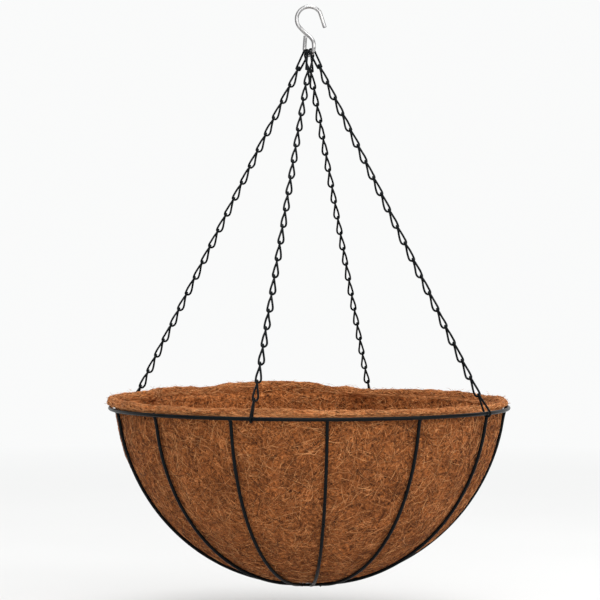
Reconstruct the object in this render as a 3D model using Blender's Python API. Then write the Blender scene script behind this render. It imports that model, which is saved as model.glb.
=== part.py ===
"""Round wire hanging basket: a coir liner in a welded wire frame, hung by four chains from an S-hook.

Metres, +Z up. The origin is where the hook's crown rests on whatever it hangs from, so everything
else is below it. -Y is the front. An angle round the basket is measured from the front towards +X.
"""

import math

import bmesh
import bpy
from mathutils import Matrix, Vector

# Wire diameters.
RIM_WIRE = 0.0036
RIB_WIRE = 0.0032
CHAIN_WIRE = 0.0020
HOOK_WIRE = 0.0040

# The bowl: a spherical cap under a ring, 16 in over the ring.
RIM_OUTER_RADIUS = 0.2032
RIM_RADIUS = RIM_OUTER_RADIUS - RIM_WIRE / 2
RIM_Z = -0.404
BOWL_RADIUS = 0.1994
BOWL_DEPTH = 0.1802
BOWL_CENTRE = Vector((0, 0, RIM_Z - BOWL_DEPTH + BOWL_RADIUS))
# The front ribs are not quite evenly spaced. The other ribs are, in the rest of the circle.
FRONT_RIB_ANGLES = [math.radians(a) for a in (-47.7, -21.7, 4.5, 30.9, 59.8)]
RIB_COUNT = 14
BASE_RING_RADIUS = 0.018

# The liner stands proud of the rim as a soft lip. Each chain presses it in, at the rim and above it.
LINER_GAP = 0.0008
LINER_THICKNESS = 0.009
LIP_HEIGHT = 0.015
LIP_WAVE = 0.003
LIP_LEAN = 0.016
LIP_BULGE = 0.022
LIP_DENT_ANGLE = math.radians(16)
RIM_PRESS = 0.0045
LIP_ROUNDING = 0.002
BOWL_STEPS = 8
LINER_SECTORS = 42

# The S-hook: an open upper loop in the XZ plane and a narrower eye, twisted out of that plane.
HOOK_LOOP_RADIUS = 0.0127
EYE_RADIUS = 0.008
EYE_Z = -0.0393
EYE_TWIST = math.radians(54)
EYE_ALONG = Vector((math.cos(EYE_TWIST), -math.sin(EYE_TWIST), 0))

# Each chain: its angle on the rim, and its angle round the bend of the hook's eye.
CHAINS = {
    "left": (math.radians(-112.5), math.radians(-45)),
    "back": (math.radians(159.8), math.radians(-15)),
    "front": (math.radians(-15.5), math.radians(15)),
    "right": (math.radians(57.5), math.radians(45)),
}
LINKS_PER_CHAIN = 22
LINK_FREE_PLAY = 0.0010
LINK_CLEARANCE = 0.0005
TOP_LINK_FOOT = 0.0026

# The joined links are seen flat: pear shapes, fuller towards the basket's middle and low down.
RUN_WALL = 0.0018
RUN_TOP_HALF_WIDTH = 0.0030
RUN_OUTER_BULGE = 0.0031
RUN_INNER_BULGE = 0.0044
RUN_HOLE_BULGE = 0.0026
RUN_HOLE_APEX = 0.0014
RUN_HOLE_FOOT = 0.0015
RUN_END_HALF_WIDTH = 0.0022

# The gap where the real wires are welded, and the height over which a rib's top runs straight.
WELD_GAP = 0.0006
RIB_STRAIGHT_TOP = 0.010

# Joint axes. The top links hang on both sides of the eye's lowest point, so they turn a little above it.
SWING_POINT = Vector((0, 0, EYE_Z - EYE_RADIUS + 0.00095))
SWAY_POINT = Vector((0, 0, -0.0624))

# Three chords draw a half circle from outside: their corners are this much further out than it is.
ARC_ANGLES = [math.radians(a) for a in (-90, -30, 30, 90)]
CORNER = 1 / math.cos(math.radians(30))


def material(name, colour, roughness, metallic=0.0):
    made = bpy.data.materials.new(name)
    made.use_nodes = True
    shader = made.node_tree.nodes["Principled BSDF"]
    shader.inputs["Base Color"].default_value = (*colour, 1)
    shader.inputs["Roughness"].default_value = roughness
    shader.inputs["Metallic"].default_value = metallic
    return made


def add(name, data, finish, pivot, place=None):
    """Adds an object whose data is in the part's own frame, or in that of the matrix place."""
    data.materials.append(finish)
    made = bpy.data.objects.new(name, data)
    bpy.context.scene.collection.objects.link(made)
    made.parent = pivot
    made.matrix_basis = Matrix.Translation(-pivot.location) @ (place or Matrix())
    return made


def pivot_at(name, location):
    made = bpy.data.objects.new(name, None)
    bpy.context.scene.collection.objects.link(made)
    made.location = location
    return made


def wire(name, points, diameter, finish, pivot, closed=False, smoothness=1):
    """A round wire along straight stretches between points."""
    curve = bpy.data.curves.new(name, "CURVE")
    curve.dimensions = "3D"
    curve.bevel_depth = diameter / 2
    curve.bevel_resolution = smoothness
    curve.use_fill_caps = not closed
    spline = curve.splines.new("POLY")
    spline.points.add(len(points) - 1)
    for corner, point in zip(spline.points, points):
        corner.co = (*point, 1)
    spline.use_cyclic_u = closed
    return add(name, curve, finish, pivot)


def heading(angle):
    """The level direction at this angle round the basket."""
    return Vector((math.sin(angle), -math.cos(angle), 0))


def circle(centre, radius, count):
    return [centre + heading(2 * math.pi * i / count) * radius for i in range(count)]


def s_hook(finish, pivot):
    """From the open tip over the crown, down across to the eye's near arm, and up its far arm."""
    centre_z = HOOK_WIRE / 2 - HOOK_LOOP_RADIUS
    points = [Vector((0.0157, 0, -0.0188))]
    for step in range(13):
        angle = math.radians(30 + 16 * step)
        height = centre_z + HOOK_LOOP_RADIUS * math.sin(angle)
        points.append(Vector((HOOK_LOOP_RADIUS * math.cos(angle), 0, height)))
    points.append(Vector((-0.0045, -0.0010, -0.0245)))
    points.append(Vector((0.0008, -0.0034, -0.0292)))
    points.append(Vector((0.0040, -0.0056, -0.0340)))
    for step in range(9):
        points.append(eye_point(math.radians(90 - 22.5 * step)))
    points.append(Vector((0, 0, -0.0275)) - EYE_RADIUS * EYE_ALONG)
    wire("s_hook", points, HOOK_WIRE, finish, pivot, smoothness=2)


def eye_point(angle):
    """On the centre line of the eye's bend, this far round from its lowest point."""
    bend = math.sin(angle) * EYE_ALONG - math.cos(angle) * Vector((0, 0, 1))
    return Vector((0, 0, EYE_Z)) + EYE_RADIUS * bend


def rim_ring(finish, pivot):
    points = circle(Vector((0, 0, RIM_Z)), RIM_RADIUS, 4 * RIB_COUNT)
    wire("rim_ring", points, RIM_WIRE, finish, pivot, closed=True)


def rib_centre_line(angle):
    """From the inner side of the rim down the bowl to the base ring."""
    radius = BOWL_RADIUS - RIB_WIRE / 2
    lowest = math.asin((BASE_RING_RADIUS + RIB_WIRE + WELD_GAP) / radius)
    highest = math.acos((BOWL_CENTRE.z - RIM_Z + RIB_STRAIGHT_TOP) / radius)
    inside_rim = RIM_RADIUS - (RIM_WIRE + RIB_WIRE) / 2 - WELD_GAP
    points = [heading(angle) * inside_rim + Vector((0, 0, RIM_Z))]
    for step in range(12):
        down = highest + (lowest - highest) * step / 11
        level = heading(angle) * radius * math.sin(down)
        points.append(BOWL_CENTRE + level - Vector((0, 0, radius * math.cos(down))))
    return points


def rib_angles():
    last = FRONT_RIB_ANGLES[-1]
    others = RIB_COUNT - len(FRONT_RIB_ANGLES)
    step = (2 * math.pi + FRONT_RIB_ANGLES[0] - last) / (others + 1)
    return FRONT_RIB_ANGLES + [last + step * (i + 1) for i in range(others)]


def ribs(finish, pivot):
    for index, angle in enumerate(rib_angles()):
        wire(f"rib_{index + 1:02d}", rib_centre_line(angle), RIB_WIRE, finish, pivot)


def base_ring(finish, pivot):
    radius = BOWL_RADIUS - RIB_WIRE / 2
    depth = math.sqrt(radius**2 - BASE_RING_RADIUS**2)
    points = circle(BOWL_CENTRE - Vector((0, 0, depth)), BASE_RING_RADIUS, 20)
    wire("base_ring", points, RIB_WIRE, finish, pivot, closed=True)


def link(name, start, end, top_axis, top_radius, foot_side, foot_radius, finish, pivot):
    """A closed wire link round two things: its top is round top_axis at start, and its foot is a
    half circle about end whose opening faces along the link and across foot_side."""
    along = (end - start).normalized()
    top_side = along.cross(top_axis).normalized()
    if top_side.dot(foot_side) < 0:
        foot_side = -foot_side
    points = []
    for angle in ARC_ANGLES:
        turned = math.sin(angle) * top_side - math.cos(angle) * along
        points.append(start + turned * top_radius * CORNER)
    for angle in reversed(ARC_ANGLES):
        turned = math.sin(angle) * foot_side + math.cos(angle) * along
        points.append(end + turned * foot_radius * CORNER)
    wire(name, points, CHAIN_WIRE, finish, pivot, closed=True)


def run_outlines(pitch):
    """The outer outline and the holes of the joined links, as (along, across), from the hook's side.

    Along starts where the first of them hangs on the top link."""
    count = LINKS_PER_CHAIN - 2
    hang = CHAIN_WIRE / 2 + LINK_FREE_PLAY
    outer = [(-hang - RUN_WALL, -RUN_TOP_HALF_WIDTH)]
    inner = [(-hang - RUN_WALL, RUN_TOP_HALF_WIDTH)]
    holes = []
    for index in range(count):
        top = index * pitch
        bottom = top + pitch
        if index:
            outer.append((top, -RUN_WALL))
            inner.append((top, RUN_WALL))
            hole = [(top + RUN_HOLE_BULGE, 0)]
        else:
            hole = [(-hang, -RUN_HOLE_APEX), (-hang, RUN_HOLE_APEX)]
        outer.append((top + 0.85 * pitch, -RUN_OUTER_BULGE))
        inner.append((top + 0.72 * pitch, RUN_INNER_BULGE))
        foot = bottom - CHAIN_WIRE / 2
        hole.append((top + 0.72 * pitch, RUN_HOLE_BULGE))
        hole.append((foot, RUN_HOLE_FOOT))
        hole.append((foot, -RUN_HOLE_FOOT))
        holes.append(hole)
    end = count * pitch + CHAIN_WIRE / 2
    outline = outer + [(end, -RUN_END_HALF_WIDTH), (end, RUN_END_HALF_WIDTH)] + inner[::-1]
    return outline, holes


def chain_run(name, pitch, place, finish, pivot):
    """The links between the top link and the clip, joined in one flat piece as thick as the wire."""
    outline, holes = run_outlines(pitch)
    curve = bpy.data.curves.new(name, "CURVE")
    curve.dimensions = "2D"
    curve.fill_mode = "BOTH"
    curve.extrude = CHAIN_WIRE / 2
    for loop in [outline] + holes:
        spline = curve.splines.new("POLY")
        spline.points.add(len(loop) - 1)
        for corner, (along, across) in zip(spline.points, loop):
            corner.co = (along, across, 0, 1)
        spline.use_cyclic_u = True
    add(name, curve, finish, pivot, place)


def chains(finish, top_pivot, basket_pivot):
    for name, (rim_angle, eye_angle) in CHAINS.items():
        on_hook = eye_point(eye_angle)
        on_rim = heading(rim_angle) * RIM_RADIUS + Vector((0, 0, RIM_Z))
        along = (on_rim - on_hook).normalized()
        pitch = (on_rim - on_hook).length / LINKS_PER_CHAIN
        inwards = Vector((-math.copysign(1, math.sin(rim_angle)), 0, 0))
        across = (inwards - inwards.dot(along) * along).normalized()
        flat = along.cross(across)
        first = on_hook + along * pitch
        last = on_rim - along * pitch

        bend = math.cos(eye_angle) * EYE_ALONG + math.sin(eye_angle) * Vector((0, 0, 1))
        link(
            f"top_link_{name}",
            on_hook,
            first - along * TOP_LINK_FOOT,
            bend - bend.dot(along) * along,
            (HOOK_WIRE + CHAIN_WIRE) / 2 + LINK_CLEARANCE,
            flat,
            TOP_LINK_FOOT,
            finish,
            top_pivot,
        )
        place = Matrix((along, across, flat)).transposed().to_4x4()
        chain_run(f"chain_{name}", pitch, Matrix.Translation(first) @ place, finish, basket_pivot)
        tangent = heading(rim_angle + math.pi / 2)
        link(
            f"rim_clip_{name}",
            last,
            on_rim,
            across,
            CHAIN_WIRE + LINK_CLEARANCE,
            along.cross(tangent),
            (RIM_WIRE + CHAIN_WIRE) / 2 + LINK_CLEARANCE,
            finish,
            basket_pivot,
        )


def clear_of_chains(angle):
    """0 at a chain, where the liner is pressed in, rising to 1 away from them all."""
    clear = 1.0
    for rim_angle, _ in CHAINS.values():
        apart = math.remainder(angle - rim_angle, 2 * math.pi)
        clear *= 1 - math.exp(-((apart / LIP_DENT_ANGLE) ** 2))
    return clear


def bowl_arc(radius, rise):
    """(radius, height) pairs up a sphere of this radius, from just off its lowest point to the rim."""
    widest = math.acos(rise / radius)
    turns = [widest * (i + 1) / BOWL_STEPS for i in range(BOWL_STEPS)]
    return [(radius * math.sin(turn), -radius * math.cos(turn)) for turn in turns]


def liner_section(angle):
    """(radius, height) pairs up the outside, over the lip and down the inside."""
    outer = BOWL_RADIUS - RIB_WIRE - LINER_GAP
    rise = BOWL_CENTRE.z - RIM_Z
    up = bowl_arc(outer, rise)
    down = bowl_arc(outer - LINER_THICKNESS, rise)
    top = LIP_HEIGHT + LIP_WAVE * math.sin(2 * angle + 0.6) - rise
    clear = clear_of_chains(angle)
    lip_outer = up[-1][0] - LIP_LEAN + LIP_BULGE * clear
    lip_inner = lip_outer - LINER_THICKNESS
    for wall in (up, down):
        radius, height = wall[-1]
        wall[-1] = (radius - RIM_PRESS * (1 - clear), height)
    lip = [
        (lip_outer, top - LIP_ROUNDING),
        (lip_outer - LIP_ROUNDING, top),
        (lip_inner + LIP_ROUNDING, top),
        (lip_inner, top - LIP_ROUNDING),
    ]
    return up + lip + down[::-1]


def coir_liner(finish, pivot):
    made = bmesh.new()
    columns = []
    for index in range(LINER_SECTORS):
        angle = 2 * math.pi * index / LINER_SECTORS
        column = []
        for radius, height in liner_section(angle):
            place = BOWL_CENTRE + heading(angle) * radius
            column.append(made.verts.new(place + Vector((0, 0, height))))
        columns.append(column)
    outer = BOWL_RADIUS - RIB_WIRE - LINER_GAP
    bottom = made.verts.new(BOWL_CENTRE - Vector((0, 0, outer)))
    floor = made.verts.new(BOWL_CENTRE - Vector((0, 0, outer - LINER_THICKNESS)))
    for index, column in enumerate(columns):
        following = columns[(index + 1) % LINER_SECTORS]
        made.faces.new((bottom, following[0], column[0]))
        made.faces.new((floor, column[-1], following[-1]))
        for lower, upper in zip(range(len(column) - 1), range(1, len(column))):
            made.faces.new((column[lower], following[lower], following[upper], column[upper]))
    bmesh.ops.recalc_face_normals(made, faces=made.faces)
    mesh = bpy.data.meshes.new("coir_liner")
    made.to_mesh(mesh)
    made.free()
    mesh.shade_smooth()
    add("coir_liner", mesh, finish, pivot)


def build():
    for old in list(bpy.data.objects):
        bpy.data.objects.remove(old, do_unlink=True)
    black = material("black_coated_wire", (0.02, 0.022, 0.022), 0.4)
    zinc = material("zinc_plated_steel", (0.62, 0.61, 0.60), 0.28, metallic=1.0)
    coir = material("coir", (0.30, 0.13, 0.055), 0.9)

    hook_pivot = pivot_at("hook_frame", Vector((0, 0, 0)))
    swing_pivot = pivot_at("basket_swing", SWING_POINT)
    sway_pivot = pivot_at("basket_sway", SWAY_POINT)
    lift_pivot = pivot_at("liner_lift", BOWL_CENTRE)

    s_hook(zinc, hook_pivot)
    chains(black, swing_pivot, sway_pivot)
    rim_ring(black, sway_pivot)
    ribs(black, sway_pivot)
    base_ring(black, sway_pivot)
    coir_liner(coir, lift_pivot)


build()
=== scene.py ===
import math

import bpy
import numpy as np
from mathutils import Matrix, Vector

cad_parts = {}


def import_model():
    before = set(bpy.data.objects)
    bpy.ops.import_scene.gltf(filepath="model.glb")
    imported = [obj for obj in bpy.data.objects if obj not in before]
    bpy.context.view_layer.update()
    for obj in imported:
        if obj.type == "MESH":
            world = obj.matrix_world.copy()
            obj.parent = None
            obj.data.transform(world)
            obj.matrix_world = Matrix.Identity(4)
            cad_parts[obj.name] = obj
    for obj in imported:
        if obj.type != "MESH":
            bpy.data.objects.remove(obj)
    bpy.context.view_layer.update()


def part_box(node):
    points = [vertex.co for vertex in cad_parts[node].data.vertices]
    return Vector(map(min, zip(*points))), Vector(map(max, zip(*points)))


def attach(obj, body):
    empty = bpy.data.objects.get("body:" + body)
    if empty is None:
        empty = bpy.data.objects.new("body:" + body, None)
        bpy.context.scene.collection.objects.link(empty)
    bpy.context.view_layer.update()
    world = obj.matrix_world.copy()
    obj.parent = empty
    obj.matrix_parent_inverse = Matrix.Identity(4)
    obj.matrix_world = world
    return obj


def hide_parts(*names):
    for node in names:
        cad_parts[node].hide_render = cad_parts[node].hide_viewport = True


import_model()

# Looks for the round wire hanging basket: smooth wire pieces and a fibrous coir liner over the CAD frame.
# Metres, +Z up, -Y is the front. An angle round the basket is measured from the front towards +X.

# Wire diameters, as in the CAD model but for the links' wire, which is 0.1 mm thicker here.
RIM_WIRE = 0.0036
RIB_WIRE = 0.0032
LINK_WIRE = 0.0021
HOOK_WIRE = 0.0040

# The bowl, placed by the rim ring's box.
RIM_LOW, RIM_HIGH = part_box("rim_ring")
RIM_Z = (RIM_LOW.z + RIM_HIGH.z) / 2
RIM_RADIUS = RIM_HIGH.x - RIM_WIRE / 2
BOWL_RADIUS = 0.1994
BOWL_DEPTH = 0.1802
BOWL_Z = RIM_Z - BOWL_DEPTH + BOWL_RADIUS
RIM_DROP = BOWL_Z - RIM_Z
FRONT_RIB_ANGLES = [math.radians(a) for a in (-47.7, -21.7, 4.5, 30.9, 59.8)]
RIB_COUNT = 14
BASE_RING_RADIUS = 0.018
WELD_OVERLAP = 0.0002
RIB_END_RISE = 0.0004
RIB_TOP_CURVE = 0.009
BEAD_RADIUS = RIB_WIRE * 0.56
BEAD_LUMPS = 0.0003

# The hook's eye, placed by the hook's box: the eye's bend is in a plane twisted from the upper loop's.
HOOK_LOOP_RADIUS = 0.0127
EYE_RADIUS = 0.008
EYE_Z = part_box("s_hook")[0].z + HOOK_WIRE / 2 + EYE_RADIUS
EYE_TWIST = math.radians(54)
EYE_ALONG = np.array((math.cos(EYE_TWIST), -math.sin(EYE_TWIST), 0.0))
UP = np.array((0.0, 0.0, 1.0))

# Each chain: its angle on the rim, and its angle round the bend of the hook's eye.
CHAINS = {
    "left": (math.radians(-112.5), math.radians(-45)),
    "back": (math.radians(159.8), math.radians(-15)),
    "front": (math.radians(-15.5), math.radians(15)),
    "right": (math.radians(57.5), math.radians(45)),
}
LINKS_PER_CHAIN = 22
LINK_PITCH = 0.0185
FIRST_LINK_PLAY = 0.0012
LINK_LOOP_RADIUS = 0.0020
TOP_FOOT_RADIUS = 0.0021
HOOK_CLEARANCE = 0.0008
RIM_CLEARANCE = 0.0003
LINK_UNEVENNESS = 0.00008

# The liner: its two bowls, and the lip that stands over the rim ring.
OUTER_RADIUS = 0.1954
INNER_RADIUS = 0.1864
LINER_PUFF = 0.0016
LIP_THICKNESS = 0.0102
LIP_PRESS = 0.0085
LIP_PRESS_ANGLE = math.radians(8)
RIB_PRESS_ANGLE = math.radians(5.5)
RIM_PRESS = 0.0045
RIM_PRESS_REACH = 0.16
# The rim's angle up each bowl from its lowest point.
RIM_DOWN_OUTER = math.acos(RIM_DROP / OUTER_RADIUS)
RIM_DOWN_INNER = math.acos(RIM_DROP / INNER_RADIUS)
# The lip's shares of the way over it: each straight side, and the rolled top.
LIP_SIDE_SHARE = 0.36
LIP_TOP_SHARE = 0.28
# Height of the lip over the rim, and how far it leans out, at angles in degrees.
LIP_HEIGHTS = {-180: .0158, -165: .0168, -155: .0160, -145: .0128, -126: .0138, -108: .0126, -90: .0108,
               -45: .0088, 0: .0080, 30: .0068, 55: .0064, 78: .0072, 100: .0082, 120: .0096, 140: .0100,
               160: .0096, 170: .0108}
LIP_LEANS = {-180: .0030, -140: .0050, -100: .0085, -70: .0080, -40: .0050, 0: .0035, 30: .0040,
             75: .0058, 105: .0052, 135: .0040, 160: .0030}
THETA_STEPS = 480
OUTER_STEPS = 118
LIP_STEPS = 44
INNER_STEPS = 84

# The loose fibres: how many, and their radii from thinnest to thickest.
OUTER_FIBRES = 32000
INNER_FIBRES = 12000
LIP_FIBRES = 9000
STRAY_HAIRS = 2600
BOWL_FIBRE_RADII = (0.00013, 0.00028)
LIP_FIBRE_RADII = (0.00013, 0.00026)
HAIR_RADII = (0.00010, 0.00019)
# The lip's radius and the distance over it, by which its fibres' lengths become angles and shares.
LIP_RADIUS = 0.196
LIP_SPAN = 0.032

random = np.random.default_rng(7)


# ---------------------------------------------------------------- helpers for shapes

def heading(angle):
    """Level directions at these angles round the basket."""
    angle = np.asarray(angle, float)
    return np.stack([np.sin(angle), -np.cos(angle), np.zeros_like(angle)], -1)


def unit(vectors):
    return vectors / np.linalg.norm(vectors, axis=-1, keepdims=True)


def smooth_path(points, closed=False, per_span=4):
    """A Catmull-Rom curve through the points."""
    points = np.asarray(points, float)
    count = len(points)
    if closed:
        before, start, end, after = (np.roll(points, shift, 0) for shift in (1, 0, -1, -2))
    else:
        padded = np.vstack([2 * points[0] - points[1], points, 2 * points[-1] - points[-2]])
        before, start, end, after = (padded[i:i + count - 1] for i in range(4))
    t = (np.arange(per_span) / per_span)[None, :, None]
    before, start, end, after = (p[:, None, :] for p in (before, start, end, after))
    curve = 0.5 * (2 * start + (end - before) * t + (2 * before - 5 * start + 4 * end - after) * t**2
                   + (3 * start - before - 3 * end + after) * t**3)
    curve = curve.reshape(-1, 3)
    return curve if closed else np.vstack([curve, points[-1]])


def carried_normals(tangents, closed):
    """Normals carried along a path without twist, and the twist left over where it closes."""
    first = np.eye(3)[np.argmin(np.abs(tangents[0]))]
    normals = [unit(np.cross(tangents[0], first))]
    for tangent in tangents[1:]:
        carried = normals[-1] - tangent * (normals[-1] @ tangent)
        normals.append(unit(carried))
    twist = 0.0
    if closed:
        back = unit(normals[-1] - tangents[0] * (normals[-1] @ tangents[0]))
        twist = math.atan2(np.cross(back, normals[0]) @ tangents[0], back @ normals[0])
    return np.array(normals), twist


def tube(path, radius, sides=10, closed=False):
    """Points and quads of a round tube along a path. An open tube's ends are rounded over."""
    path = np.asarray(path, float)
    radii = np.full(len(path), radius)
    if not closed:
        start, end = unit(path[0] - path[1]), unit(path[-1] - path[-2])
        reach = radius * np.array([0.42, 0.36, 0.2])
        path = np.vstack([path[0] + np.outer(reach, start), path, path[-1] + np.outer(reach[::-1], end)])
        rounding = radius * np.array([0.25, 0.72, 0.95])
        radii = np.concatenate([rounding, radii, rounding[::-1]])
    ahead = np.roll(path, -1, 0) - np.roll(path, 1, 0)
    if not closed:
        ahead[0] = path[1] - path[0]
        ahead[-1] = path[-1] - path[-2]
    tangents = unit(ahead)
    normals, twist = carried_normals(tangents, closed)
    beside = np.cross(tangents, normals)
    turn = 2 * math.pi * np.arange(sides) / sides + twist * np.arange(len(path))[:, None] / len(path)
    ring = np.cos(turn)[..., None] * normals[:, None] + np.sin(turn)[..., None] * beside[:, None]
    points = (path[:, None] + ring * radii[:, None, None]).reshape(-1, 3)
    spans = len(path) if closed else len(path) - 1
    here = np.arange(spans)[:, None] * sides
    there = (np.arange(spans)[:, None] + 1) % len(path) * sides
    k = np.arange(sides)
    after = (k + 1) % sides
    quads = np.stack([here + k, here + after, there + after, there + k], -1).reshape(-1, 4)
    faces = [tuple(q) for q in quads.tolist()]
    if not closed:
        last = (len(path) - 1) * sides
        faces.append(tuple(range(sides))[::-1])
        faces.append(tuple(range(last, last + sides)))
    return points, faces


def add(name, points, faces, material, body, slot, stands_for=()):
    """A smooth-shaded mesh piece that rides on a CAD body and stands for CAD nodes."""
    mesh = bpy.data.meshes.new(name)
    mesh.from_pydata(np.asarray(points).tolist(), [], faces)
    mesh.materials.append(material)
    mesh.shade_smooth()
    made = bpy.data.objects.new(name, mesh)
    bpy.context.scene.collection.objects.link(made)
    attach(made, body)
    if stands_for:
        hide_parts(*stands_for)
    return made


def joined(tubes):
    """One set of points and faces from several."""
    points, faces, count = [], [], 0
    for some_points, some_faces in tubes:
        points.append(some_points)
        faces += [tuple(i + count for i in face) for face in some_faces]
        count += len(some_points)
    return np.vstack(points), faces


def waves(seed, wavelength, count=36):
    """A smooth random field of this wavelength, about -1 to 1: a sum of waves in random directions."""
    source = np.random.default_rng(seed)
    directions = unit(source.normal(size=(count, 3)))
    pace = 2 * math.pi / (wavelength * source.uniform(0.7, 1.5, count))
    phases = source.uniform(0, 2 * math.pi, count)

    def field(points):
        angles = points @ (directions * pace[:, None]).T + phases
        return np.sin(angles).sum(-1) / math.sqrt(count)

    return field


# ---------------------------------------------------------------- materials

class Shader:
    """A small helper to build one node material."""

    def __init__(self, name):
        self.material = bpy.data.materials.new(name)
        self.material.use_nodes = True
        self.tree = self.material.node_tree
        self.principled = self.tree.nodes["Principled BSDF"]
        self.place = self.tree.nodes.new("ShaderNodeTexCoord").outputs["Object"]

    def node(self, kind, **settings):
        made = self.tree.nodes.new(kind)
        for name, value in settings.items():
            setattr(made, name, value)
        return made

    def link(self, source, target):
        self.tree.links.new(source, target)

    def noise(self, scale, detail=3.0, stretch=(1, 1, 1), turn=(0, 0, 0), distortion=0.0):
        mapping = self.node("ShaderNodeMapping")
        mapping.inputs["Rotation"].default_value = [math.radians(a) for a in turn]
        mapping.inputs["Scale"].default_value = stretch
        self.link(self.place, mapping.inputs["Vector"])
        texture = self.node("ShaderNodeTexNoise")
        texture.inputs["Scale"].default_value = scale
        texture.inputs["Detail"].default_value = detail
        texture.inputs["Distortion"].default_value = distortion
        self.link(mapping.outputs["Vector"], texture.inputs["Vector"])
        return texture.outputs["Fac"]

    def ramp(self, source, stops):
        ramp = self.node("ShaderNodeValToRGB")
        elements = ramp.color_ramp.elements
        while len(elements) < len(stops):
            elements.new(0.5)
        for element, (position, colour) in zip(elements, stops):
            element.position = position
            element.color = (*colour, 1)
        self.link(source, ramp.inputs["Fac"])
        return ramp.outputs["Color"]

    def spread(self, source, low, high, start=0.0, end=1.0):
        spread = self.node("ShaderNodeMapRange")
        for name, value in (("From Min", start), ("From Max", end), ("To Min", low), ("To Max", high)):
            spread.inputs[name].default_value = value
        self.link(source, spread.inputs["Value"])
        return spread.outputs["Result"]

    def mix(self, factor, first, second, blend="MIX"):
        mix = self.node("ShaderNodeMix", data_type="RGBA", blend_type=blend)
        for socket, value in ((mix.inputs[0], factor), (mix.inputs[6], first), (mix.inputs[7], second)):
            if isinstance(value, bpy.types.NodeSocket):
                self.link(value, socket)
            elif isinstance(value, tuple):
                socket.default_value = (*value, 1)
            else:
                socket.default_value = value
        return mix.outputs[2]

    def math(self, operation, first, second):
        made = self.node("ShaderNodeMath", operation=operation)
        for socket, value in zip(made.inputs, (first, second)):
            if isinstance(value, bpy.types.NodeSocket):
                self.link(value, socket)
            else:
                socket.default_value = value
        return made.outputs[0]

    def bump(self, height, strength, distance):
        bump = self.node("ShaderNodeBump")
        bump.inputs["Strength"].default_value = strength
        bump.inputs["Distance"].default_value = distance
        self.link(height, bump.inputs["Height"])
        self.link(bump.outputs["Normal"], self.principled.inputs["Normal"])

    def set(self, **values):
        for name, value in values.items():
            self.principled.inputs[name.replace("_", " ")].default_value = value


def black_wire():
    """Satin black coating with a faint orange peel, dull patches and thin grey rubs."""
    s = Shader("black_coated_wire")
    patches = s.noise(60, 4)
    peel = s.noise(900, 2)
    rubs = s.noise(240, 5, stretch=(1, 1, 0.35))
    coat = s.ramp(patches, [(0.3, (0.0014, 0.0026, 0.0034)), (0.7, (0.0034, 0.0052, 0.0062))])
    worn = s.spread(rubs, 0.0, 0.5, 0.66, 0.74)
    s.link(s.mix(worn, coat, (0.030, 0.036, 0.040)), s.principled.inputs["Base Color"])
    s.link(s.spread(patches, 0.26, 0.40, 0.3, 0.7), s.principled.inputs["Roughness"])
    s.bump(peel, 0.2, 0.0002)
    s.set(Specular_IOR_Level=0.07)
    return s.material


def zinc():
    """Bright zinc plate: long drawn streaks, small dull spots."""
    s = Shader("zinc_plated_steel")
    streaks = s.noise(500, 4, stretch=(1, 1, 0.12))
    spots = s.noise(420, 3)
    plate = s.ramp(streaks, [(0.3, (0.24, 0.24, 0.25)), (0.7, (0.50, 0.49, 0.48))])
    dull = s.spread(spots, 0.0, 0.6, 0.6, 0.72)
    s.link(s.mix(dull, plate, (0.13, 0.125, 0.12)), s.principled.inputs["Base Color"])
    s.link(s.spread(streaks, 0.12, 0.28, 0.3, 0.7), s.principled.inputs["Roughness"])
    s.bump(streaks, 0.2, 0.0002)
    s.set(Metallic=1.0)
    return s.material


# Coir tones from dark to light; in the mat the darkest one is also painted shade in the gaps between the
# streaks.
COIR_DARK = (0.055, 0.0160, 0.0036)
COIR_BROWN = (0.300, 0.092, 0.0230)
COIR_WARM = (0.600, 0.208, 0.0590)
COIR_LIGHT = (0.900, 0.430, 0.1700)


def coir_mat():
    """The mat under the loose fibres: brown, with fibre streaks that cross in several directions, and painted
    shade in the gaps between them.
    """
    s = Shader("coir_mat")
    clumps = s.noise(42, 4, distortion=0.6)
    total = None
    for turn in ((0, 0, 0), (62, 20, 35), (-55, 40, 80), (28, -65, 120), (84, 75, 10)):
        streaks = s.noise(330, 3, stretch=(1.0, 0.16, 1.0), turn=turn, distortion=0.3)
        total = streaks if total is None else s.math("MAXIMUM", total, streaks)
    fibres = s.spread(total, 0.0, 1.0, 0.48, 0.78)
    # Low values, the gaps between the streaks, turn darkest: painted shade between fibres, over the fibres'
    # own tones.
    colour = s.ramp(fibres, [(0.0, COIR_DARK), (0.35, COIR_BROWN), (0.75, COIR_WARM), (1.0, COIR_LIGHT)])
    shade = s.ramp(clumps, [(0.32, (0.62, 0.60, 0.58)), (0.68, (1.0, 1.0, 1.0))])
    s.link(s.mix(1.0, colour, shade, "MULTIPLY"), s.principled.inputs["Base Color"])
    s.link(s.spread(fibres, 0.98, 0.82), s.principled.inputs["Roughness"])
    s.bump(fibres, 0.9, 0.0012)
    s.set(Specular_IOR_Level=0.15)
    return s.material


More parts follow.
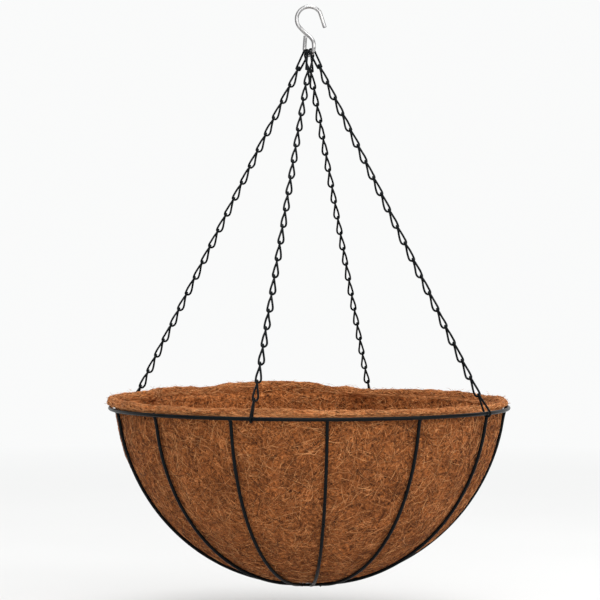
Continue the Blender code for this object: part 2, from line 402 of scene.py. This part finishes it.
def coir_fibre():
    """Loose fibres: each has its own tone, kept in the mesh, and darkens in patches along it."""
    s = Shader("coir_fibre")
    tone = s.node("ShaderNodeAttribute", attribute_name="tone").outputs["Fac"]
    clumps = s.noise(42, 4, distortion=0.6)
    along = s.noise(700, 3)
    colour = s.ramp(tone, [(0.0, COIR_DARK), (0.3, COIR_BROWN), (0.65, COIR_WARM), (1.0, COIR_LIGHT)])
    patchy = s.ramp(clumps, [(0.32, (0.80, 0.78, 0.76)), (0.68, (1.0, 1.0, 1.0))])
    mottled = s.ramp(along, [(0.3, (0.86, 0.84, 0.82)), (0.65, (1.0, 1.0, 1.0))])
    colour = s.mix(1.0, colour, patchy, "MULTIPLY")
    s.link(s.mix(1.0, colour, mottled, "MULTIPLY"), s.principled.inputs["Base Color"])
    s.link(s.spread(along, 0.62, 0.88, 0.3, 0.7), s.principled.inputs["Roughness"])
    s.bump(along, 0.3, 0.0002)
    s.set(Specular_IOR_Level=0.3)
    return s.material


# ---------------------------------------------------------------- wire pieces

def eye_point(angle):
    """On the centre line of the eye's bend, this far round from its lowest point."""
    return EYE_Z * UP + EYE_RADIUS * (math.sin(angle) * EYE_ALONG - math.cos(angle) * UP)


def s_hook(material):
    centre = UP * (HOOK_WIRE / 2 - HOOK_LOOP_RADIUS)
    points = [(0.0157, 0, -0.0188)]
    for degrees in range(30, 223, 12):
        turned = math.radians(degrees)
        points.append(centre + HOOK_LOOP_RADIUS * np.array((math.cos(turned), 0, math.sin(turned))))
    points += [(-0.0045, -0.0010, -0.0245), (0.0008, -0.0034, -0.0292), (0.0040, -0.0056, -0.0340)]
    points += [eye_point(math.radians(90 - 15 * step)) for step in range(13)]
    points.append(-0.0275 * UP - 0.82 * EYE_RADIUS * EYE_ALONG)
    path = smooth_path(points, per_span=5)
    add("s_hook_wire", *tube(path, HOOK_WIRE / 2, sides=20), material, "hook", "zinc_wire", ["s_hook"])


def ring(name, radius, height, wire, material, body, slot, stands_for, seed, wobble):
    """A welded ring, very slightly out of true."""
    angles = 2 * math.pi * np.arange(288) / 288
    phase = np.random.default_rng(seed).uniform(0, 2 * math.pi, 2)
    path = heading(angles) * (radius - wobble * (1 - np.sin(2 * angles + phase[0])) / 2)[:, None]
    path += np.outer(height + 0.3 * wobble * np.sin(3 * angles + phase[1]), UP)
    add(name, *tube(path, wire / 2, sides=16, closed=True), material, body, slot, stands_for)


def bowl_point(angle, down, radius):
    """On a sphere of this radius about the bowl's centre, this far up from its lowest point."""
    return BOWL_Z * UP + heading(angle) * radius * math.sin(down) - UP * radius * math.cos(down)


def rib_angles():
    """The five front ribs, then the rest evenly spaced round the back."""
    last = FRONT_RIB_ANGLES[-1]
    others = RIB_COUNT - len(FRONT_RIB_ANGLES)
    step = (2 * math.pi + FRONT_RIB_ANGLES[0] - last) / (others + 1)
    return FRONT_RIB_ANGLES + [last + step * (i + 1) for i in range(others)]


def rib_path(angle):
    """From the rim ring's inner side down the bowl to the base ring."""
    radius = BOWL_RADIUS - RIB_WIRE / 2
    lowest = math.asin((BASE_RING_RADIUS + RIB_WIRE * 0.9) / radius)
    highest = math.acos((RIM_DROP + RIB_TOP_CURVE) / radius)
    inside_ring = RIM_RADIUS - (RIM_WIRE + RIB_WIRE) / 2 + WELD_OVERLAP
    points = [heading(angle) * inside_ring + UP * (RIM_Z + RIB_END_RISE)]
    points += [bowl_point(angle, down, radius) for down in np.linspace(highest, lowest, 16)]
    return points


def ribs(material):
    for index, angle in enumerate(rib_angles()):
        path = smooth_path(rib_path(angle), per_span=4)
        name = f"rib_wire_{index + 1:02d}"
        stands_for = [f"rib_{index + 1:02d}"]
        add(name, *tube(path, RIB_WIRE / 2, sides=14), material, "basket", "black_wire", stands_for)


def weld_beads(material):
    """A small uneven bead where each rib meets the rim ring and the base ring."""
    lumps = waves(21, 0.0022)
    beads = []
    for angle in rib_angles():
        points = rib_path(angle)
        at_rim = points[0] + heading(angle) * 0.0006 - UP * 0.0006
        for start, following, length in ((at_rim, points[1], 0.0018), (points[-1], points[-2], 0.0016)):
            along = unit(following - start)
            path = [start + along * length * t for t in np.linspace(-0.5, 0.9, 7)]
            bead, faces = tube(path, BEAD_RADIUS, sides=12)
            bead = bead + unit(bead - start) * (BEAD_LUMPS * lumps(bead))[:, None]
            beads.append((bead, faces))
    add("weld_beads", *joined(beads), material, "basket", "black_wire")


def link_axes(rim_angle, eye_angle):
    """Where a chain starts and ends, its pitch, and its directions along, across and flat."""
    on_hook = eye_point(eye_angle)
    on_rim = heading(rim_angle) * RIM_RADIUS + UP * RIM_Z
    pitch = np.linalg.norm(on_rim - on_hook) / LINKS_PER_CHAIN
    along = unit(on_rim - on_hook)
    inwards = np.array((-math.copysign(1, math.sin(rim_angle)), 0, 0))
    across = unit(inwards - inwards @ along * along)
    return on_hook, on_rim, pitch, along, across, np.cross(along, across)


def link_outline(pitch, play):
    """Centre line of one bent link as (along, across, flat): a loop round the link above, strands, a foot."""
    top = LINK_LOOP_RADIUS + play
    bent = 0.7 * top
    loop = [(0, 0, -top), (-bent, 0, -bent), (-top, 0, 0), (-bent, 0, bent), (0, 0, top)]
    # The strands and the foot, in millimetres.
    strands = [(3, .5, 1.7), (8, 1.9, .8), (13.2, 3.2, .1), (16.3, 3.1, 0), (18.1, 1.8, 0), (18.5, .2, 0),
               (18, -1.1, 0), (16, -1.6, 0), (12, -1.5, -.1), (7, -1, -.9), (3, -.4, -1.7)]
    stretch = pitch / LINK_PITCH
    below = [(u * stretch / 1000, v / 1000, w / 1000) for u, v, w in strands]
    return np.array(loop + below)


def arc(centre, axis_up, axis_side, radius, start, end, count):
    """Points on a circle: axis_up is the direction at 90 degrees and axis_side that at 0."""
    turns = np.radians(np.linspace(start, end, count))
    return [centre + radius * (math.sin(t) * axis_up + math.cos(t) * axis_side) for t in turns]


def closed_link(first_arc, second_arc):
    """A wire bent through two arcs and closed."""
    path = smooth_path(first_arc + second_arc, closed=True, per_span=6)
    return tube(path, LINK_WIRE / 2, sides=12, closed=True)


def top_link(name, axes, eye_angle, material):
    on_hook, _, pitch, along, across, _ = axes
    bend = math.cos(eye_angle) * EYE_ALONG + math.sin(eye_angle) * UP
    bend = unit(bend - bend @ along * along)
    side = np.cross(along, bend)
    if side @ across < 0:
        side = -side
    loop = arc(on_hook, -along, side, (HOOK_WIRE + LINK_WIRE) / 2 + HOOK_CLEARANCE, 200, -20, 9)
    foot = arc(on_hook + along * (pitch - TOP_FOOT_RADIUS), along, across, TOP_FOOT_RADIUS, 10, 170, 5)
    wire = closed_link(loop, foot)
    add(f"top_link_{name}_wire", *wire, material, "top_links", "black_wire", [f"top_link_{name}"])


def middle_links(name, axes, material):
    on_hook, _, pitch, along, across, flat = axes
    source = np.random.default_rng(len(name) * 31 + ord(name[0]))
    links = []
    for index in range(LINKS_PER_CHAIN - 2):
        outline = link_outline(pitch, FIRST_LINK_PLAY if index == 0 else 0)
        outline = outline + source.normal(0, LINK_UNEVENNESS, outline.shape) * (0, 1, 1)
        place = on_hook + along * pitch * (index + 1)
        points = place + outline @ np.array((along, across, flat))
        path = smooth_path(points, closed=True, per_span=3)
        links.append(tube(path, LINK_WIRE / 2, sides=10, closed=True))
    add(f"chain_{name}_links", *joined(links), material, "basket", "black_wire", [f"chain_{name}"])


def rim_clip(name, axes, rim_angle, material):
    _, on_rim, pitch, along, _, flat = axes
    outwards = unit(np.cross(heading(rim_angle + math.pi / 2), along))
    if outwards @ flat < 0:
        flat = -flat
    last = on_rim - along * pitch
    loop = arc(last, -along, flat, LINK_LOOP_RADIUS, 180, 0, 5)
    foot_radius = (RIM_WIRE + LINK_WIRE) / 2 + RIM_CLEARANCE
    foot = arc(on_rim, along, outwards, foot_radius, -5, 185, 9)
    wire = closed_link(loop, foot)
    add(f"rim_clip_{name}_wire", *wire, material, "basket", "black_wire", [f"rim_clip_{name}"])


def chains(material):
    for name, (rim_angle, eye_angle) in CHAINS.items():
        axes = link_axes(rim_angle, eye_angle)
        top_link(name, axes, eye_angle, material)
        middle_links(name, axes, material)
        rim_clip(name, axes, rim_angle, material)


# ---------------------------------------------------------------- the liner

FIELD_WIDE = waves(1, 0.060)
FIELD_TUFT = waves(2, 0.016)
FIELD_FINE = waves(3, 0.006)


def by_angle(table, theta):
    """A smooth value at these angles from a table of {degrees: value}."""
    degrees = np.array(sorted(table), float)
    values = np.array([table[d] for d in sorted(table)])
    turned = np.degrees(theta + math.pi) % 360 - 180
    span = np.searchsorted(degrees, turned, side="right") - 1
    count = len(degrees)
    start, end = degrees[span], np.where(span + 1 < count, degrees[(span + 1) % count], 180.0)
    t = (turned - start) / (end - start)
    t = t * t * (3 - 2 * t)
    return values[span] * (1 - t) + values[(span + 1) % count] * t


def lip_press(theta):
    """1 where a chain presses the lip in, falling to 0 beside it."""
    pressed = np.zeros_like(theta)
    for rim_angle, _ in CHAINS.values():
        apart = (theta - rim_angle + math.pi) % (2 * math.pi) - math.pi
        pressed = np.maximum(pressed, np.exp(-((apart / LIP_PRESS_ANGLE) ** 2)))
    return pressed


def rim_dent(theta, down, rim_down):
    """How far a chain presses the bowl's wall in: most at the rim, fading out below it."""
    near = np.clip((down - rim_down + RIM_PRESS_REACH) / RIM_PRESS_REACH, 0, 1)
    return RIM_PRESS * lip_press(theta) * near ** 2


def rib_press(theta):
    """1 at a rib, falling to 0 beside it."""
    pressed = np.zeros_like(theta)
    for angle in rib_angles():
        apart = (theta - angle + math.pi) % (2 * math.pi) - math.pi
        pressed = np.maximum(pressed, np.exp(-((apart / RIB_PRESS_ANGLE) ** 2)))
    return pressed


def outer_point(theta, down):
    """On the liner's outside below the rim."""
    radial = np.sin(down)
    smooth = heading(theta) * (OUTER_RADIUS * radial)[..., None]
    smooth = smooth - UP * (OUTER_RADIUS * np.cos(down))[..., None]
    away = 1 - rib_press(theta)
    room = np.clip(radial * 2.2 - 0.25, 0, 1)
    lumps = 0.00022 * FIELD_TUFT(smooth) + 0.00018 * FIELD_FINE(smooth)
    lift = room * away * (LINER_PUFF + 0.0004 * FIELD_WIDE(smooth)) + lumps * (0.3 + 0.7 * away) - 0.0006
    lift = lift - rim_dent(theta, down, RIM_DOWN_OUTER)
    return BOWL_Z * UP + smooth * (1 + lift / OUTER_RADIUS)[..., None]


def inner_point(theta, down):
    """On the liner's inside below the rim."""
    smooth = heading(theta) * (INNER_RADIUS * np.sin(down))[..., None]
    smooth = smooth - UP * (INNER_RADIUS * np.cos(down))[..., None]
    lift = 0.0009 * FIELD_WIDE(smooth + 0.1) + 0.0006 * FIELD_TUFT(smooth) + 0.0003 * FIELD_FINE(smooth)
    lift = lift - 0.0004 - rim_dent(theta, down, RIM_DOWN_INNER)
    return BOWL_Z * UP + smooth * (1 + lift / INNER_RADIUS)[..., None]


def lip_turn(t):
    """How far the rolled top has turned, from 0 on the outside to half a turn on the inside."""
    return np.clip((t - LIP_SIDE_SHARE) / LIP_TOP_SHARE, 0, 1) * math.pi


def lip_outwards(theta, turn):
    """Directions straight out of the lip's surface."""
    return heading(theta) * np.cos(turn)[..., None] + UP * np.sin(turn)[..., None]


def lip_point(theta, t):
    """On the lip: t runs from 0 at the rim outside, over the rolled top, to 1 at the rim inside."""
    height = by_angle(LIP_HEIGHTS, theta)
    near_lip = heading(theta) * 0.2
    height = height + 0.0006 * FIELD_WIDE(near_lip + 1.0) + 0.0002 * FIELD_TUFT(near_lip)
    press = lip_press(theta)
    lean = by_angle(LIP_LEANS, theta) * (1 - press) - LIP_PRESS * press
    half = LIP_THICKNESS / 2
    straight = height - half
    side = np.clip(np.where(t < 0.5, t, 1 - t) / LIP_SIDE_SHARE, 0, 1)
    turn = lip_turn(t)
    up = side * straight + half * np.sin(turn)
    off = half * np.cos(turn)
    ease = np.clip((up - 0.0006) / 0.0040, 0, 1)
    ease = ease * ease * (3 - 2 * ease)
    middle = (OUTER_RADIUS * math.sin(RIM_DOWN_OUTER) + INNER_RADIUS * math.sin(RIM_DOWN_INNER)) / 2
    bell = 0.0007 * np.sin(np.clip(up / height, 0, 1) * math.pi) * np.sign(off)
    radius = middle + off * 0.93 + lean * ease - RIM_PRESS * press * (1 - ease) + bell
    point = heading(theta) * radius[..., None] + UP * (RIM_Z + up)[..., None]
    lumps = 0.00035 * FIELD_TUFT(point) + 0.0003 * FIELD_FINE(point)
    raised = lumps * np.sin(np.clip(t, 0, 1) * math.pi) ** 0.5
    return point + lip_outwards(theta, turn) * raised[..., None]


def coir_liner(material):
    """The pressed mat: a closed bowl with a rolled lip."""
    theta = 2 * math.pi * np.arange(THETA_STEPS) / THETA_STEPS
    column = []
    for down in RIM_DOWN_OUTER * np.arange(1, OUTER_STEPS + 1) / OUTER_STEPS:
        column.append(outer_point(theta, np.full_like(theta, down)))
    for t in np.arange(1, LIP_STEPS) / LIP_STEPS:
        column.append(lip_point(theta, np.full_like(theta, t)))
    for down in RIM_DOWN_INNER * np.arange(INNER_STEPS, 0, -1) / INNER_STEPS:
        column.append(inner_point(theta, np.full_like(theta, down)))
    blend_seams(column)
    points = np.vstack(column + [BOWL_Z * UP - OUTER_RADIUS * UP, BOWL_Z * UP - INNER_RADIUS * UP])
    rows = len(column)
    i = np.arange(THETA_STEPS)
    after = (i + 1) % THETA_STEPS
    faces = []
    for row in range(rows - 1):
        low, high = row * THETA_STEPS, (row + 1) * THETA_STEPS
        faces += np.stack([low + i, low + after, high + after, high + i], -1).tolist()
    bottom, floor, last = rows * THETA_STEPS, rows * THETA_STEPS + 1, (rows - 1) * THETA_STEPS
    faces += [(bottom, int(b), int(a)) for a, b in zip(i, after)]
    faces += [(floor, int(last + a), int(last + b)) for a, b in zip(i, after)]
    mat = add("coir_liner_mat", points, faces, material, "liner", "coir", ["coir_liner"])
    return mat


def blend_seams(column):
    """Eases the rows on each side of the two seams between bowl and lip, so that no crease shows."""
    for seam in (OUTER_STEPS, OUTER_STEPS + LIP_STEPS - 1):
        for _ in range(6):
            for row in range(seam - 4, seam + 4):
                column[row] = (column[row - 1] + 2 * column[row] + column[row + 1]) / 4


def fibre_meshes(name, spines, radii, tones, material, parts):
    """Thin three-sided fibres with pointed ends, from spines of shape (fibre, 5, 3)."""
    for part in range(parts):
        chosen = slice(part, None, parts)
        spine, radius, tone = spines[chosen], radii[chosen], tones[chosen]
        count = len(spine)
        tangent = unit(spine[:, 2:] - spine[:, :-2])
        outwards = unit(np.cross(tangent, random.normal(size=tangent.shape)))
        beside = np.cross(tangent, outwards)
        turn = 2 * math.pi * np.arange(3) / 3
        ring_off = outwards[:, :, None] * np.cos(turn)[:, None] + beside[:, :, None] * np.sin(turn)[:, None]
        taper = np.array([0.8, 1.0, 0.7])[None, :, None, None]
        rings = spine[:, 1:4, None] + ring_off * radius[:, None, None, None] * taper
        points = np.concatenate([spine[:, :1], rings.reshape(count, 9, 3), spine[:, 4:]], 1)
        k = np.arange(3)
        after = (k + 1) % 3
        start = np.stack([np.zeros(3, int), 1 + after, 1 + k], -1)
        ends = np.stack([np.full(3, 10), 7 + k, 7 + after], -1)
        sides = []
        for base in (1, 4):
            sides.append(np.stack([base + k, base + after, base + 3 + after], -1))
            sides.append(np.stack([base + k, base + 3 + after, base + 3 + k], -1))
        one = np.vstack([start, *sides, ends])
        triangles = (one[None] + 11 * np.arange(count)[:, None, None]).reshape(-1, 3)
        piece = triangle_piece(f"{name}_{part + 1}", points.reshape(-1, 3), triangles, material)
        tone_layer = piece.data.attributes.new("tone", "FLOAT", "POINT")
        tone_layer.data.foreach_set("value", np.repeat(tone, 11).astype(np.float32))


def triangle_piece(name, points, triangles, material):
    """A mesh piece on the liner, made straight from arrays because it holds many triangles."""
    mesh = bpy.data.meshes.new(name)
    mesh.vertices.add(len(points))
    mesh.vertices.foreach_set("co", points.astype(np.float32).ravel())
    mesh.loops.add(triangles.size)
    mesh.loops.foreach_set("vertex_index", triangles.astype(np.int32).ravel())
    mesh.polygons.add(len(triangles))
    mesh.polygons.foreach_set("loop_start", np.arange(0, triangles.size, 3, dtype=np.int32))
    mesh.update(calc_edges=True)
    mesh.validate()
    mesh.materials.append(material)
    mesh.shade_smooth()
    made = bpy.data.objects.new(name, mesh)
    bpy.context.scene.collection.objects.link(made)
    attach(made, "liner")
    return made


STATIONS = np.linspace(-0.5, 0.5, 5)


def tones(count, middle, spread):
    return np.clip(random.normal(middle, spread, count), 0, 1)


def bowl_fibres(name, surface, radius, widest, count, lift, material, parts, tone):
    """Fibres that lie along great circles of a bowl and curve a little to one side."""
    level = random.uniform(-1, -math.cos(widest), count)
    down = np.arccos(-level)
    theta = random.uniform(0, 2 * math.pi, count)
    centre = heading(theta) * np.sin(down)[:, None] - UP * np.cos(down)[:, None]
    aim = unit(np.cross(centre, random.normal(size=centre.shape)))
    beside = np.cross(centre, aim)
    length = np.clip(random.gamma(5.0, 0.0040, count), 0.008, 0.050)
    bow = random.normal(0, 0.16, count)
    t = STATIONS[None, :, None]
    reach = (length / radius)[:, None, None]
    sideways = beside[:, None] * reach * bow[:, None, None] * (4 * t**2 - 0.5)
    way = unit(centre[:, None] + aim[:, None] * reach * t + sideways)
    angle = np.arctan2(way[..., 0], -way[..., 1])
    low = np.arccos(np.clip(-way[..., 2], -1, 1))
    on = surface(angle, np.minimum(low, widest))
    outwards = way * math.copysign(1, lift)
    rise = abs(lift) * random.uniform(0.0, 1.0, count)[:, None] * (1 - 3.2 * STATIONS[None] ** 2)
    spines = on + outwards * rise[..., None]
    radii = random.uniform(*BOWL_FIBRE_RADII, count)
    fibre_meshes(name, spines, radii, tone, material, parts)


def lip_fibres(material):
    """Longer fibres that run round the lip, most of them nearly level, lighter in tone: partly their own
    tone, partly painted light from above.
    """
    count = LIP_FIBRES
    theta = random.uniform(0, 2 * math.pi, count)
    t = np.clip(random.normal(0.42, 0.2, count), 0.04, 0.96)
    length = np.clip(random.gamma(6.0, 0.0034, count), 0.008, 0.045)
    slope = random.normal(0, 0.30, count)
    bow = random.normal(0, 0.03, count)
    along = STATIONS[None] * (length / LIP_RADIUS)[:, None]
    over = t[:, None] + STATIONS[None] * (slope * length / LIP_SPAN)[:, None]
    over = over + bow[:, None] * (4 * STATIONS[None] ** 2)
    over = np.clip(over, 0.02, 0.98)
    on = lip_point(theta[:, None] + along, over)
    outwards = lip_outwards(theta[:, None] + along, lip_turn(over))
    rise = 0.0007 * random.uniform(0, 1, count)[:, None] * (1 - 3.2 * STATIONS[None] ** 2)
    spines = on + outwards * rise[..., None]
    radii = random.uniform(*LIP_FIBRE_RADII, count)
    # The lighter tone here is partly the fibres' own and partly painted light from above on the upturned lip.
    fibre_meshes("coir_lip_fibres", spines, radii, tones(count, 0.80, 0.22), material, 1)


def stray_hairs(material):
    """Single fibres that stand off the lip's top and curl over."""
    count = STRAY_HAIRS
    theta = random.uniform(0, 2 * math.pi, count)
    t = np.clip(random.normal(0.46, 0.13, count), 0.1, 0.85)
    root = lip_point(theta, t)
    outwards = lip_outwards(theta, lip_turn(t))
    around = np.stack([np.cos(theta), np.sin(theta), np.zeros_like(theta)], -1)
    around = around * random.choice((-1, 1), count)[:, None]
    reach = np.clip(random.gamma(1.6, 0.0011, count), 0.0006, 0.008)
    sweep = reach * random.uniform(0.6, 2.6, count)
    s = np.linspace(0, 1, 5)[None, :, None]
    rise = outwards[:, None] * reach[:, None, None] * (s * (1.5 - 0.8 * s) - 0.04)
    spines = root[:, None] + rise + around[:, None] * sweep[:, None, None] * s
    radii = random.uniform(*HAIR_RADII, count)
    fibre_meshes("coir_stray_hairs", spines, radii, tones(count, 0.6, 0.2), material, 1)


def loose_fibres(material):
    bowl_fibres("coir_outer_fibres", outer_point, OUTER_RADIUS, RIM_DOWN_OUTER, OUTER_FIBRES, 0.0009,
                material, 3, tones(OUTER_FIBRES, 0.52, 0.32))
    # The inner fibres' lighter tone is painted light from above on the inside of the bowl, which faces up.
    bowl_fibres("coir_inner_fibres", inner_point, INNER_RADIUS, RIM_DOWN_INNER, INNER_FIBRES, -0.0010,
                material, 2, tones(INNER_FIBRES, 0.78, 0.30))
    lip_fibres(material)
    stray_hairs(material)


# ---------------------------------------------------------------- stage, light and camera

FLOOR_Z = -0.638
FLOOR_HALF = 14.0
FLAG_HALF_DEPTH = 0.28
FLAG_LOW, FLAG_HIGH = -0.5, 0.9
CAMERA_PLACE = (-0.0093, -1.866, -0.2957)
CAMERA_LENS = 110.34
BACKDROP = (0.955, 0.960, 0.958)


def stage():
    """A wide pale floor that fades into the backdrop's colour."""
    mesh = bpy.data.meshes.new("floor")
    corners = [(FLOOR_HALF * x, FLOOR_HALF * y, FLOOR_Z) for x, y in ((-1, -1), (1, -1), (1, 1), (-1, 1))]
    mesh.from_pydata(corners, [], [(0, 1, 2, 3)])
    floor = bpy.data.objects.new("studio_floor", mesh)
    bpy.context.scene.collection.objects.link(floor)
    s = Shader("floor_paint")
    mottle = s.noise(3, 2)
    paint = s.ramp(mottle, [(0.3, (0.725, 0.725, 0.722)), (0.7, (0.740, 0.740, 0.737))])
    apart = s.node("ShaderNodeVectorMath", operation="LENGTH")
    s.link(s.place, apart.inputs[0])
    faded = s.spread(apart.outputs["Value"], 0.0, 1.0, 0.75, 2.6)
    s.link(s.mix(faded, paint, (0.0, 0.0, 0.0)), s.principled.inputs["Base Color"])
    s.link(s.mix(faded, (0.0, 0.0, 0.0), BACKDROP), s.principled.inputs["Emission Color"])
    s.set(Roughness=0.9, Specular_IOR_Level=0.0, Emission_Strength=1.0)
    mesh.materials.append(s.material)


def world():
    made = bpy.data.worlds.new("studio")
    made.use_nodes = True
    background = made.node_tree.nodes["Background"]
    background.inputs["Color"].default_value = (*BACKDROP, 1)
    background.inputs["Strength"].default_value = 1.0
    bpy.context.scene.world = made


def area_light(name, location, aim, size, power):
    data = bpy.data.lights.new(name, "AREA")
    data.shape = "SQUARE"
    data.size = size
    data.energy = power
    lamp = bpy.data.objects.new(name, data)
    bpy.context.scene.collection.objects.link(lamp)
    lamp.location = location
    lamp.rotation_euler = (Vector(aim) - Vector(location)).to_track_quat("-Z", "Y").to_euler()


def flag(name, x, y):
    """A tall dark panel beside the basket, which gives the bright metal its dark reflections."""
    near, far = y - FLAG_HALF_DEPTH, y + FLAG_HALF_DEPTH
    mesh = bpy.data.meshes.new(name)
    corners = [(x, near, FLAG_LOW), (x, far, FLAG_LOW), (x, far, FLAG_HIGH), (x, near, FLAG_HIGH)]
    mesh.from_pydata(corners, [], [(0, 1, 2, 3)])
    s = Shader(name)
    weave = s.noise(30, 2)
    cloth = s.ramp(weave, [(0.3, (0.010, 0.010, 0.010)), (0.7, (0.016, 0.016, 0.016))])
    s.link(cloth, s.principled.inputs["Base Color"])
    s.set(Roughness=1.0, Specular_IOR_Level=0.0)
    mesh.materials.append(s.material)
    panel = bpy.data.objects.new(name, mesh)
    bpy.context.scene.collection.objects.link(panel)
    panel.visible_camera = False


def lights():
    flag("left_flag", -1.3, -0.2)
    flag("right_flag", 1.3, 0.2)
    area_light("top_light", (0.2, -0.5, 2.0), (0, 0, -0.45), 1.6, 34)
    area_light("front_light", (0.1, -2.6, 0.5), (0, 0, -0.5), 1.4, 16)
    area_light("right_light", (1.7, -1.3, 0.5), (0, 0, -0.45), 1.0, 13)


def camera():
    data = bpy.data.cameras.new("camera")
    data.sensor_width = 36.0
    data.lens = CAMERA_LENS
    made = bpy.data.objects.new("camera", data)
    bpy.context.scene.collection.objects.link(made)
    made.location = CAMERA_PLACE
    made.rotation_euler = (math.pi / 2, 0, 0)
    bpy.context.scene.camera = made
    bpy.context.scene.view_settings.view_transform = "Standard"


def build():
    black, plated = black_wire(), zinc()
    camera()
    stage()
    world()
    lights()
    s_hook(plated)
    ring("rim_ring_wire", RIM_RADIUS, RIM_Z, RIM_WIRE, black, "basket", "black_wire", ["rim_ring"],
         11, 0.0003)
    base_z = BOWL_Z - math.sqrt((BOWL_RADIUS - RIB_WIRE / 2) ** 2 - BASE_RING_RADIUS**2)
    ring("base_ring_wire", BASE_RING_RADIUS, base_z, RIB_WIRE, black, "basket", "black_wire", ["base_ring"],
         12, 0.0001)
    ribs(black)
    weld_beads(black)
    chains(black)
    coir_liner(coir_mat())
    loose_fibres(coir_fibre())


build()
